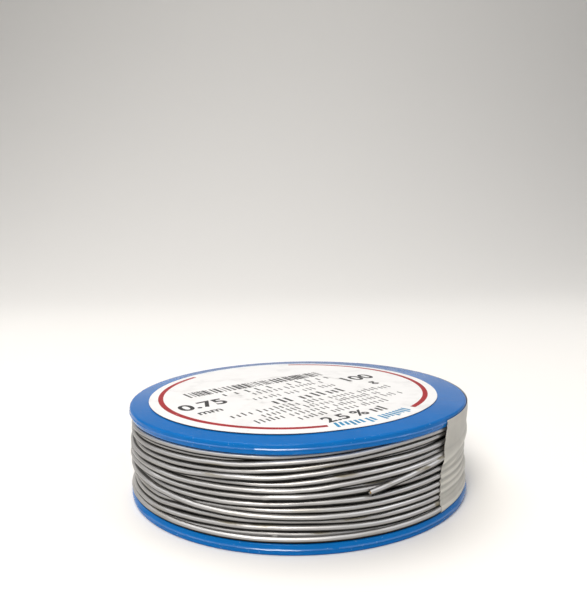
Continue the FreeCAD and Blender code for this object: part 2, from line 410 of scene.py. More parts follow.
def warp(x, y):
    """How far the warped upper flange stands below its flat place, at x and y."""
    azimuth = np.degrees(np.arctan2(x, -y))
    reach = np.minimum(1.0, np.hypot(x, y) / FLANGE_R)
    lean = TILT * (1 - np.cos(np.radians(azimuth - TILT_AZIMUTH))) / 2
    from_bend = (azimuth - BEND_AZIMUTH + 180) % 360 - 180
    bend = BEND * (1 - np.exp(-(from_bend / BEND_WIDTH) ** 4))
    return -lean * reach ** 2 - bend * reach ** 4


# The wire's course

def smooth_line(xs, ys, at):
    """A smooth line through the points (xs, ys), read at the places at."""
    xs, ys = np.asarray(xs, float), np.asarray(ys, float)
    slopes = np.gradient(ys, xs)
    i = np.clip(np.searchsorted(xs, at) - 1, 0, len(xs) - 2)
    span = xs[i + 1] - xs[i]
    t = (at - xs[i]) / span
    return ((2 * t ** 3 - 3 * t ** 2 + 1) * ys[i] + (t ** 3 - 2 * t ** 2 + t) * span * slopes[i]
            + (3 * t ** 2 - 2 * t ** 3) * ys[i + 1] + (t ** 3 - t ** 2) * span * slopes[i + 1])


def ramp(at, start, end):
    """Rises from 0 at start to 1 at end."""
    return np.clip((at - start) / (end - start), 0, 1)


def waves(at, seed, amount, longest, shortest):
    """Small irregular waves along a line, the same on each run."""
    draw = np.random.default_rng(seed)
    total = np.zeros_like(at)
    for length in np.geomspace(longest, shortest, 6):
        total += np.sin(at * 2 * np.pi / length + draw.uniform(0, 2 * np.pi)) * draw.uniform(0.5, 1)
    return total * amount / 6 ** 0.5


def outer_course():
    """Running azimuth, height and rank of the outer wire, from its cut face to where it goes inwards."""
    draw = np.random.default_rng(7)
    azimuths = [a for a, _ in FREE_END]
    heights = [h for _, h in FREE_END]
    for row, strand in enumerate(STRANDS):
        turn = 360 * (row + 1)
        if row:
            azimuths += [turn - 360 + a for a in BACK_STATIONS]
            even = BACK_TOP - BACK_PITCH * max(0.4 * row, row - len(SUNK))
            heights += [even + draw.uniform(-0.03, 0.03) for _ in BACK_STATIONS]
        else:
            azimuths.append(240)
            heights.append(BACK_TOP - 0.1)
        azimuths += [turn + a for a in FRONT_STATIONS]
        heights += strand[1:]
    last = 360 * len(STRANDS)
    azimuths += [last + azimuth for azimuth, _ in LAST_STRETCH]
    heights += [height for _, height in LAST_STRETCH]
    at = np.arange(CUT_AZIMUTH, last + LAST_AZIMUTH, 360 / STEPS)
    height = smooth_line(azimuths, heights, at) * MM + waves(at, 3, 0.016 * MM, 70, 9)
    places, ranks = [RANK_HOLDS + 60], [FREE_END_RANK]
    for row, strand in enumerate(STRANDS):
        places += [360 * (row + 1) - RANK_HOLDS, 360 * (row + 1) + RANK_HOLDS]
        ranks += [strand[0]] * 2
    return at, height, np.interp(at, places, ranks)


def settle(height, rank, base, wire_d):
    """Radii of the wire's centre line: strands that come nearer than its width lie on each other."""
    radius = base.copy()
    turns = len(height) // STEPS
    for sweep in range(SWEEPS):
        push = np.zeros_like(radius)
        for turn in range(1, turns + 1):
            a, b = slice(0, len(height) - turn * STEPS), slice(turn * STEPS, None)
            apart = np.abs(height[a] - height[b])
            near = apart < wire_d
            need = np.sqrt(np.clip(wire_d ** 2 - apart ** 2, 0, None))
            side = np.clip(rank[a] - rank[b], -1, 1)
            lack = np.clip(need * np.abs(side) - (radius[a] - radius[b]) * np.sign(side), 0, None)
            lack *= near & (side != 0)
            push[a] += lack * np.where(side > 0, OUTWARD, INWARD)
            push[b] += lack * np.where(side > 0, INWARD, OUTWARD)
        radius += push * 0.5
        if sweep < EASED_SWEEPS:
            radius += (base - radius) * 0.03
            padded = np.pad(radius, 2, mode="edge")
            radius = (padded[:-4] + 2 * padded[1:-3] + 3 * radius + 2 * padded[3:-1] + padded[4:]) / 9
    return np.minimum(radius, FLANGE_R - wire_d / 2 - 0.03 * MM)


def outer_wire(wire_d):
    at, height, rank = outer_course()
    azimuth = (at + 180) % 360 - 180
    base = LAYER_R + waves(at, 5, 0.02 * MM, 200, 25)
    for row, first, last, depth in SUNK:
        along = at - 360 * (row + 1)
        down, up = ramp(along, first, last), ramp(along, *SUNK_END)
        base -= depth * MM * down * (1 - up)
        rank = rank - FREE_END_RANK / 2 * down * (1 - up)
    angle = np.radians(at)
    highest = HIGHEST + warp(FLANGE_R * np.sin(angle), -FLANGE_R * np.cos(angle))
    seen, radius = height, base
    for _ in range(3):
        height = seen - VIEW_SLOPE * (SEEN_R - np.clip(radius, LAYER_R - 0.15 * MM, None))
        height = np.where(at < FREE_END_CLEAR, height, np.clip(height, LOWEST, highest))
        radius = settle(height, rank, base, wire_d)
    taped = ramp(azimuth, *PRESS_STARTS) * ramp(azimuth, *PRESS_ENDS)
    radius += (PRESSED_R - radius) * TAPE_PRESS * taped * (base > LAYER_R - 0.3 * MM)
    inwards = ramp(at - at[-1], -PLUNGE_ANGLE, 0)
    radius -= PLUNGE * inwards ** 2 * (3 - 2 * inwards)
    return at, height, radius


def under_wire():
    """Running azimuth, height and radius of the layer beneath, which is laid the other way."""
    at = np.arange(0, 360 * UNDER_COUNT + 1, 360 / (STEPS * 0.6))
    even = LOWEST + (HIGHEST - LOWEST) * at / at[-1]
    height = np.clip(even + waves(at, 11, 0.09 * MM, 500, 60), LOWEST, HIGHEST)
    return at, height, UNDER_R + waves(at, 13, 0.05 * MM, 300, 40)


def points_of(at, height, radius):
    angle = np.radians(at)
    return np.stack([radius * np.sin(angle), -radius * np.cos(angle), height], -1)


def wire_along(name, points, wire_d, roundness):
    """A round wire along the points: a path that is given its thickness, and then made a mesh."""
    start_fresh()
    bpy.ops.curve.primitive_nurbs_path_add()
    path = bpy.context.object
    path.name = name
    curve = path.data
    curve.splines.clear()
    spline = curve.splines.new("POLY")
    spline.points.add(len(points) - 1)
    spline.points.foreach_set("co", np.hstack([points, np.ones((len(points), 1))]).astype(np.float32).ravel())
    curve.twist_mode = "Z_UP"
    curve.bevel_depth = wire_d / 2
    curve.bevel_resolution = roundness
    curve.use_fill_caps = True
    bpy.ops.object.convert(target="MESH")
    wire = bpy.context.object
    face_outwards(wire)
    return smooth(wire)


# Materials

def tint(colour, share, lift=0.0):
    """The colour at a share of its strength, made paler by lift."""
    return [min(1, c * share + lift) for c in colour]


class Nodes:
    """Short ways to add the nodes of one material."""

    def __init__(self, name):
        self.material = bpy.data.materials.new(name)
        self.material.use_nodes = True
        self.tree = self.material.node_tree
        self.tree.nodes.clear()
        self.output = self.tree.nodes.new("ShaderNodeOutputMaterial")
        position = self.add("ShaderNodeTexCoord").outputs["Object"]
        self.mm = self.scaled(position, (1000, 1000, 1000))

    def add(self, kind, inputs=None, **settings):
        """Adds a node with its settings; each input is linked to a socket or takes a value."""
        node = self.tree.nodes.new(kind)
        for name, value in settings.items():
            setattr(node, name, value)
        for key, value in (inputs or {}).items():
            socket = node.inputs[key]
            if isinstance(value, bpy.types.NodeSocket):
                self.tree.links.new(value, socket)
            else:
                socket.default_value = (*value[:3], 1) if socket.type == "RGBA" else value
        return node

    def calc(self, operation, a, b=0.0):
        return self.add("ShaderNodeMath", {0: a, 1: b}, operation=operation).outputs[0]

    def times(self, a, b):
        return self.calc("MULTIPLY", a, b)

    def larger(self, a, b):
        return self.calc("MAXIMUM", a, b)

    def scaled(self, vector, scale):
        return self.add("ShaderNodeVectorMath", {0: vector, 1: scale}, operation="MULTIPLY").outputs[0]

    def stretched(self, scale, turn=0.0):
        return self.add("ShaderNodeMapping", {
            "Vector": self.mm, "Rotation": (0, 0, turn), "Scale": scale}).outputs[0]

    def noise(self, scale, detail=3.0, roughness=0.5, vector=None):
        return self.add("ShaderNodeTexNoise", {
            "Vector": self.mm if vector is None else vector, "Scale": scale, "Detail": detail,
            "Roughness": roughness}).outputs["Fac"]

    def step(self, value, low, high, out_low=0.0, out_high=1.0):
        """Rises from out_low to out_high as value goes from low to high."""
        return self.add("ShaderNodeMapRange", {
            "Value": value, "From Min": low, "From Max": high, "To Min": out_low, "To Max": out_high},
            interpolation_type="SMOOTHSTEP").outputs[0]

    def mix(self, share, a, b):
        """The colour a where share is 0, and b where it is 1."""
        return self.add("ShaderNodeMix", {0: share, 6: a, 7: b}, data_type="RGBA").outputs[2]

    def radius(self):
        """Distance from the spool's axis, in mm."""
        flat = self.scaled(self.mm, (1, 1, 0))
        return self.add("ShaderNodeVectorMath", {0: flat}, operation="LENGTH").outputs["Value"]

    def height(self):
        return self.add("ShaderNodeSeparateXYZ", {0: self.mm}).outputs["Z"]

    def facing(self):
        """The surface's normal in the object's own axes, split in three."""
        normal = self.add("ShaderNodeTexCoord").outputs["Normal"]
        return self.add("ShaderNodeSeparateXYZ", {0: normal}).outputs

    def bump(self, height, distance, strength=1.0, normal=None):
        """A relief of height, whose full step is distance in mm."""
        inputs = {"Height": height, "Distance": distance * MM, "Strength": strength}
        if normal is not None:
            inputs["Normal"] = normal
        return self.add("ShaderNodeBump", inputs).outputs[0]

    def shade(self, **inputs):
        """Ends the material with a shader, whose inputs are named with _ in place of each space."""
        inputs = {key.replace("_", " "): value for key, value in inputs.items()}
        shader = self.add("ShaderNodeBsdfPrincipled", inputs)
        self.tree.links.new(shader.outputs[0], self.output.inputs["Surface"])
        return self.material


def plastic_material(name, colour, gloss):
    """Moulded blue polystyrene: satin, faintly pebbled, with scuffs and whitened nicks at the rims."""
    n = Nodes(name)
    radius = n.radius()
    base = n.mix(n.noise(0.25, 2), tint(colour, 0.90), tint(colour, 1.10))
    scratches = None
    for turn, along in ((0.4, 0.25), (1.5, 0.18), (2.4, 0.22)):
        line = n.step(n.noise(1.0, 3, 0.6, n.stretched((along, 6.0, 6.0), turn)), 0.66, 0.74)
        scratches = line if scratches is None else n.larger(scratches, line)
    patches = n.step(n.noise(0.35, 2), 0.45, 0.65)
    scratches = n.times(scratches, patches)
    nicks = n.times(n.step(n.noise(1.6, 5, 0.7), 0.64, 0.70), n.step(radius, *NICKED_R))
    worn = n.larger(n.times(scratches, 0.22), n.times(nicks, 0.75))
    base = n.mix(worn, base, (0.42, 0.62, 0.85))
    rough = n.step(n.noise(0.9, 4, 0.6), 0.3, 0.75, 0.12, 0.20)
    rough = n.calc("ADD", rough, n.times(worn, 0.25))
    relief = n.bump(n.noise(4.0, 3), 0.0015)
    relief = n.bump(n.calc("SINE", n.times(radius, 9.0)), 0.0006, 1.0, relief)
    relief = n.bump(n.calc("ADD", scratches, nicks), -0.02, 0.6, relief)
    return n.shade(Base_Color=base, Roughness=rough, Specular_IOR_Level=gloss, Normal=relief)


def solder_material(name, colour, residue):
    """Drawn tin-lead wire: soft grey metal with fine lines along it, dull patches and brown flux residue,
    with painted shade: near-black on the strands' lower sides and in the crevices between them, and a darker
    body below each strand's top.
    """
    n = Nodes(name)
    flat = n.scaled(n.mm, (1, 1, 0))
    around = n.add("ShaderNodeVectorMath", {0: flat}, operation="NORMALIZE").outputs[0]
    radius, height = n.radius(), n.height()
    parts = n.add("ShaderNodeSeparateXYZ", {0: around}).outputs

    def drawn(length, width, detail):
        """Noise that is stretched along the wire: length and width are in mm."""
        along = WOUND_R / length
        at = n.add("ShaderNodeCombineXYZ", {
            0: n.times(parts[0], along), 1: n.times(parts[1], along),
            2: n.times(height, 1 / width)}).outputs[0]
        return n.add("ShaderNodeTexNoise", {
            "Vector": at, "W": n.times(radius, 1 / width), "Scale": 1.0, "Detail": detail,
            "Roughness": 0.55}, noise_dimensions="4D").outputs["Fac"]

    lines = drawn(6.0, 0.05, 2.0)
    dull = drawn(9.0, 0.7, 3.0)
    azimuth = n.times(n.calc("ARCTAN2", parts[0], n.times(parts[1], -1.0)), 180 / math.pi)
    stain = None
    for spot_azimuth, spot_height, half_width, half_height in STAINS:
        across = n.calc("DIVIDE", n.calc("SUBTRACT", azimuth, spot_azimuth), half_width)
        upwards = n.calc("DIVIDE", n.calc("SUBTRACT", height, spot_height), half_height)
        away = n.calc("ADD", n.times(across, across), n.times(upwards, upwards))
        spot = n.step(away, 0.3, 1.6, 1.0, 0.0)
        stain = spot if stain is None else n.larger(stain, spot)
    faint = n.times(n.step(drawn(5.0, 1.3, 3.0), 0.56, 0.70), 0.3)
    stain = n.larger(n.times(stain, n.step(drawn(2.5, 0.4, 3.0), 0.3, 0.6)), faint)
    facing = n.facing()
    # Painted shade: the lower side of each strand, and its top where it meets the strand above, turn nearly
    # black
    under = n.step(facing[2], -0.42, 0.10, 1.0, 0.0)
    over = n.step(facing[2], 0.93, 0.995)
    painted_crevice_shade = n.larger(under, n.times(over, 0.6))
    base = n.mix(n.step(dull, 0.35, 0.7), tint(colour, 1.06), tint(colour, 0.84))
    # Painted shade: each strand's front and lower body is darker than its top, which faces the lamps
    base = n.mix(n.step(facing[2], 0.34, 0.80, 0.62, 0.0), base, tint(colour, 0.34))
    base = n.mix(n.step(lines, 0.3, 0.7, 0.0, 0.20), base, tint(colour, 0.5))
    base = n.mix(n.times(stain, 0.72), base, tint(residue, 0.5))
    base = n.mix(n.times(painted_crevice_shade, 0.98), base, (0.008, 0.007, 0.006))
    rough = n.step(dull, 0.3, 0.75, 0.34, 0.48)
    rough = n.calc("ADD", rough, n.times(stain, 0.15))
    relief = n.bump(lines, 0.006)
    relief = n.bump(drawn(1.6, 0.5, 3.0), 0.01, 0.5, relief)
    # In the painted crevice shade the wire also loses its metal and its reflection
    metal = n.step(n.larger(painted_crevice_shade, n.times(stain, 0.6)), 0.3, 1.0, 0.85, 0.3)
    return n.shade(
        Base_Color=base, Metallic=metal, Roughness=rough, Normal=relief,
        Specular_IOR_Level=n.step(painted_crevice_shade, 0.2, 0.9, 0.5, 0.0))


def paper_material(colour):
    """Coated label paper: the edge of the bore shows through as a grubby ring, and the cut edge carries a
    painted shadow.
    """
    n = Nodes("label_paper")
    radius, up = n.radius(), n.facing()[2]
    fibres = n.noise(7.0, 4, 0.6)
    base = n.mix(n.step(n.noise(0.3, 3), 0.3, 0.7), colour, tint(colour, 0.965))
    base = n.mix(n.step(fibres, 0.3, 0.8, 0.0, 0.12), base, tint(colour, 0.8))
    edge_r = BORE_R / MM
    inside, outside = n.step(radius, edge_r - 0.7, edge_r), n.step(radius, edge_r + 0.1, edge_r + 1.0, 1, 0)
    ring = n.times(inside, outside)
    rubbed = n.times(ring, n.step(n.noise(0.5, 4, 0.65), 0.40, 0.66))
    smudge = n.times(n.step(n.noise(0.22, 3, 0.6), 0.52, 0.72), 0.16)
    specks = n.times(n.step(n.noise(2.4, 2), 0.74, 0.78), 0.5)
    dirt = n.larger(n.times(rubbed, 0.42), n.larger(smudge, specks))
    base = n.mix(dirt, base, (0.30, 0.29, 0.28))
    # Painted shadow: the faces of the paper that don't face up, its cut edge among them, are turned dark
    # blue-grey
    painted_edge_shadow = n.step(up, 0.3, 0.7, 1.0, 0.0)
    base = n.mix(painted_edge_shadow, base, (0.05, 0.07, 0.12))
    relief = n.bump(fibres, 0.006)
    relief = n.bump(rubbed, -0.03, 0.7, relief)
    return n.shade(Base_Color=base, Roughness=n.step(fibres, 0.2, 0.8, 0.42, 0.55), Normal=relief)


def ink_material(name, colour, paper):
    """Printing ink, worn off in specks."""
    n = Nodes(name)
    worn = n.step(n.noise(2.6, 5, 0.7), 0.62, 0.72)
    base = n.mix(n.times(worn, 0.5), colour, paper)
    base = n.mix(n.step(n.noise(0.6, 2), 0.3, 0.8, 0.0, 0.25), base, tint(colour, 2.2, 0.02))
    return n.shade(
        Base_Color=base, Roughness=n.step(worn, 0, 1, 0.45, 0.6), Specular_IOR_Level=0.15,
        Normal=n.bump(n.noise(7.0, 4), 0.004))


def tape_material(colour):
    """Matte film: faint grain, with painted shade in the hollows between strands and a painted highlight on
    the ridges.
    """
    n = Nodes("tape_film")
    grain = n.noise(1.0, 4, 0.6, n.stretched((0.6, 0.6, 5.0)))
    cloud = n.noise(0.28, 3)
    base = n.mix(n.step(cloud, 0.3, 0.7), tint(colour, 1.03), tint(colour, 0.88))
    base = n.mix(n.step(grain, 0.3, 0.8, 0.0, 0.3), base, tint(colour, 1.16))
    ridge = n.add("ShaderNodeAttribute", attribute_name="ridge").outputs["Fac"]
    # Painted shade in the hollows between the strands, and a painted highlight on the ridges
    base = n.mix(n.step(ridge, -0.07, 0.0, 0.5, 0.0), base, tint(colour, 0.55))
    base = n.mix(n.step(ridge, 0.005, 0.05, 0.0, 0.6), base, tint(colour, 1.5))
    specks = n.step(n.noise(1.8, 3), 0.70, 0.76)
    base = n.mix(n.times(specks, 0.35), base, (0.40, 0.37, 0.30))
    relief = n.bump(grain, 0.012)
    relief = n.bump(n.noise(1.1, 3), 0.03, 0.6, relief)
    return n.shade(
        Base_Color=base, Roughness=n.step(grain, 0.2, 0.8, 0.48, 0.66), Normal=relief,
        Subsurface_Weight=0.12, Subsurface_Radius=(0.4 * MM, 0.35 * MM, 0.3 * MM), Subsurface_Scale=1.0)


def flux_material(colour):
    """Amber rosin."""
    n = Nodes("rosin_flux")
    base = n.mix(n.noise(9.0, 3), colour, tint(colour, 0.45))
    return n.shade(Base_Color=base, Roughness=0.3, Normal=n.bump(n.noise(12.0, 2), 0.01))


# Operators, one for each piece or group of like pieces

class SOLDER_OT_moulding(bpy.types.Operator):
    """Build the spool: two flanges on a hollow barrel, one moulding"""

    bl_idname = "solder_spool.moulding"
    bl_label = "Spool Moulding"

    def execute(self, context):
        rim, step = FLANGE_R - RIM_SETBACK, FLANGE_R - MOULD_STEP
        inside = step - DRAFT
        parting = RIM_THICKNESS / 2
        lower = [
            (BORE_R, BORE_CHAMFER),
            (BORE_R + BORE_CHAMFER, 0),
            (rim, 0),
            (rim, parting - FLASH),
            (FLANGE_R, parting - FLASH * 0.4),
            (FLANGE_R, parting + FLASH * 0.2),
            (step, parting + FLASH * 2.3),
            (inside, RIM_THICKNESS),
            (BARREL_R, ROOT_THICKNESS),
        ]
        upper = [
            (BARREL_R, SPOOL_TOP - ROOT_THICKNESS),
            (inside, SPOOL_TOP - RIM_THICKNESS),
            (step, SPOOL_TOP - parting - FLASH),
            (FLANGE_R, SPOOL_TOP - parting - FLASH * 0.4),
            (FLANGE_R, SPOOL_TOP - parting + FLASH * 0.2),
            (rim, SPOOL_TOP - parting + FLASH * 2),
            (rim, SPOOL_TOP),
            (BORE_R + BORE_CHAMFER, SPOOL_TOP),
            (BORE_R, SPOOL_TOP - BORE_CHAMFER),
        ]
        spool = turn_outline("spool_moulding", lower + upper, SEGMENTS)
        bevel_rings(spool, [(rim, 0), (rim, SPOOL_TOP)], RIM_ROUNDING * 1.3, 4)
        channel_edges = [(inside, RIM_THICKNESS), (inside, SPOOL_TOP - RIM_THICKNESS)]
        bevel_rings(spool, channel_edges, RIM_ROUNDING * 0.6, 3)
        self.roughen_flash(spool)
        self.cut_start_slot(spool)
        middle = SPOOL_TOP / 2
        for vertex in spool.data.vertices:
            if vertex.co.z > middle:
                vertex.co.z += warp(vertex.co.x, vertex.co.y)
        smooth(spool, 28)
        blue = context.scene.spool_colours.plastic
        spool.data.materials.clear()
        spool.data.materials.append(plastic_material("moulded_blue_plastic", blue, SATIN))
        spool.data.materials.append(plastic_material("glossy_flash", blue, GLOSSY))
        for face in spool.data.polygons:
            face.material_index = int(face.center.xy.length > FLANGE_R - FLASH_REACH)
        finish_piece(spool, None, "spool_plastic", "spool")
        return {"FINISHED"}

    def roughen_flash(self, spool):
        """The thin flash of the parting line is ragged, more so in some places than in others."""
        draw = np.random.default_rng(21)
        along = np.arange(SEGMENTS) * 1.0
        worn = np.clip(0.45 + waves(along, 22, 0.5, 90, 20), 0.08, 1)
        bites = draw.uniform(0, 1, (2, SEGMENTS)) ** 2 * np.stack([worn, np.roll(worn, 57)])
        lifts = draw.uniform(-1, 1, (2, SEGMENTS))
        for vertex in spool.data.vertices:
            radius = math.hypot(vertex.co.x, vertex.co.y)
            if radius > FLANGE_R - 0.01 * MM:
                place = int(round(math.atan2(vertex.co.y, vertex.co.x) / (2 * math.pi) * SEGMENTS)) % SEGMENTS
                flange = int(vertex.co.z > SPOOL_TOP / 2)
                share = 1 - bites[flange, place] * MOULD_STEP * 0.6 / radius
                vertex.co.x *= share
                vertex.co.y *= share
                vertex.co.z += lifts[flange, place] * FLASH * 0.35

    def cut_start_slot(self, spool):
        start_fresh()
        bpy.ops.mesh.primitive_cylinder_add(vertices=32, radius=START_WIDTH / 2, depth=ROOT_THICKNESS * 3)
        cutter = bpy.context.object
        for end in (-1, 1):
            pick(cutter, "VERT", lambda v: v.co.x * end > 1e-6)
            bpy.ops.transform.translate(value=(end * (START_LENGTH - START_WIDTH) / 2, 0, 0))
            bpy.ops.object.mode_set(mode="OBJECT")
        cutter.rotation_euler = (0, 0, math.radians(START_AZIMUTH))
        cutter.location = place_at(START_AZIMUTH, START_R)
        place_in_mesh(cutter)
        activate(spool)
        cut = spool.modifiers.new("start_slot", "BOOLEAN")
        cut.operation = "DIFFERENCE"
        cut.solver = "EXACT"
        cut.object = cutter
        bpy.ops.object.modifier_apply(modifier=cut.name)
        bpy.data.objects.remove(cutter)


class SOLDER_OT_winding(bpy.types.Operator):
    """Wind the wire: the outer layer, and the layers beneath it"""

    bl_idname = "solder_spool.winding"
    bl_label = "Winding"

    def execute(self, context):
        sizes, colours = context.scene.spool_sizes, context.scene.spool_colours
        solder = solder_material("drawn_solder", colours.solder, colours.residue)
        at, height, radius = outer_wire(sizes.wire_diameter)
        wound = at >= FREE_END_JOIN
        points = points_of(at[wound], height[wound], radius[wound])
        outer = wire_along("outer_layer", points, sizes.wire_diameter, 4)
        finish_piece(outer, solder, "solder", "outer_turns")

        strands = wire_along("under_strands", points_of(*under_wire()), sizes.wire_diameter, 2)
        gap = 0.03 * MM
        foot, core_r = ROOT_THICKNESS + gap, UNDER_R - 0.1 * MM
        core = turn_outline("core", [
            (BARREL_R + gap, foot), (core_r, foot), (core_r, SPOOL_TOP - foot - TILT),
            (BARREL_R + gap, SPOOL_TOP - foot - TILT)], 96)
        inner = join("inner_layers", [strands, core])
        finish_piece(inner, solder, "solder", "inner_turns")
        return {"FINISHED"}


class SOLDER_OT_free_end(bpy.types.Operator):
    """Lay the wire's free end over the winding, with the flux core in its cut face"""

    bl_idname = "solder_spool.free_end"
    bl_label = "Free End"

    def execute(self, context):
        sizes, colours = context.scene.spool_sizes, context.scene.spool_colours
        at, height, radius = outer_wire(sizes.wire_diameter)
        free = at <= FREE_END_JOIN + 360 / STEPS
        points = points_of(at[free], height[free], radius[free])
        wire = wire_along("free_end_wire", points, sizes.wire_diameter, 5)
        start = Vector(points[0])
        way = (Vector(points[1]) - start).normalized()
        self.sink_core(wire, start, way, sizes)
        solder = solder_material("cut_solder", colours.solder, colours.residue)
        finish_piece(wire, solder, "solder", "free_wire_end")

        start_fresh()
        bpy.ops.mesh.primitive_uv_sphere_add(segments=20, ring_count=10, radius=sizes.flux_diameter / 2)
        flux = bpy.context.object
        flux.name = "flux_core_end"
        pick(flux, "VERT", lambda v: v.co.z < 0)
        bpy.ops.transform.resize(value=(1, 1, 0.4))
        bpy.ops.mesh.select_all(action="SELECT")
        bpy.ops.transform.resize(value=(0.97, 0.97, 0.55))
        bpy.ops.object.mode_set(mode="OBJECT")
        flux.rotation_euler = (-way).to_track_quat("Z", "Y").to_euler()
        flux.location = start + way * sizes.flux_diameter * 0.25
        place_in_mesh(flux)
        smooth(flux)
        finish_piece(flux, flux_material(colours.flux), "flux", "flux_core")
        return {"FINISHED"}

    def sink_core(self, wire, start, way, sizes):
        """Insets the cut face and pushes its middle in, which leaves the hole of the flux core."""
        core_d = sizes.flux_diameter
        pick(wire, "FACE", lambda f: (Vector(f.center) - start).length < core_d and f.normal.dot(way) < -0.9)
        bpy.ops.mesh.inset(thickness=(sizes.wire_diameter - core_d) / 2)
        bpy.ops.transform.translate(value=way * core_d * 0.7)
        bpy.ops.object.mode_set(mode="OBJECT")


class SOLDER_OT_wire_start(bpy.types.Operator):
    """Put the wire's first end into the slot of the lower flange"""

    bl_idname = "solder_spool.wire_start"
    bl_label = "Wire Start"

    def execute(self, context):
        sizes, colours = context.scene.spool_sizes, context.scene.spool_colours
        angle = math.radians(START_AZIMUTH)
        outward = Vector((math.sin(angle), -math.cos(angle), 0))
        sideways = Vector((math.cos(angle), math.sin(angle), 0))
        low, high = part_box("wire_start")
        place = outward * START_R
        bend = [(0.10, low.z), (0.06, low.z + 0.4 * MM), (0.0, low.z + 0.8 * MM), (-0.12, high.z)]
        points = np.array([place + sideways * (s * MM) + Vector((0, 0, z)) for s, z in bend])
        dense = np.linspace(0, len(bend) - 1, 16)
        points = np.stack([smooth_line(range(len(bend)), points[:, i], dense) for i in range(3)], -1)
        wire = wire_along("wire_start_end", points, sizes.wire_diameter * 0.98, 4)
        solder = solder_material("start_solder", colours.solder, colours.residue)
        finish_piece(wire, solder, "solder", "wire_start")
        return {"FINISHED"}


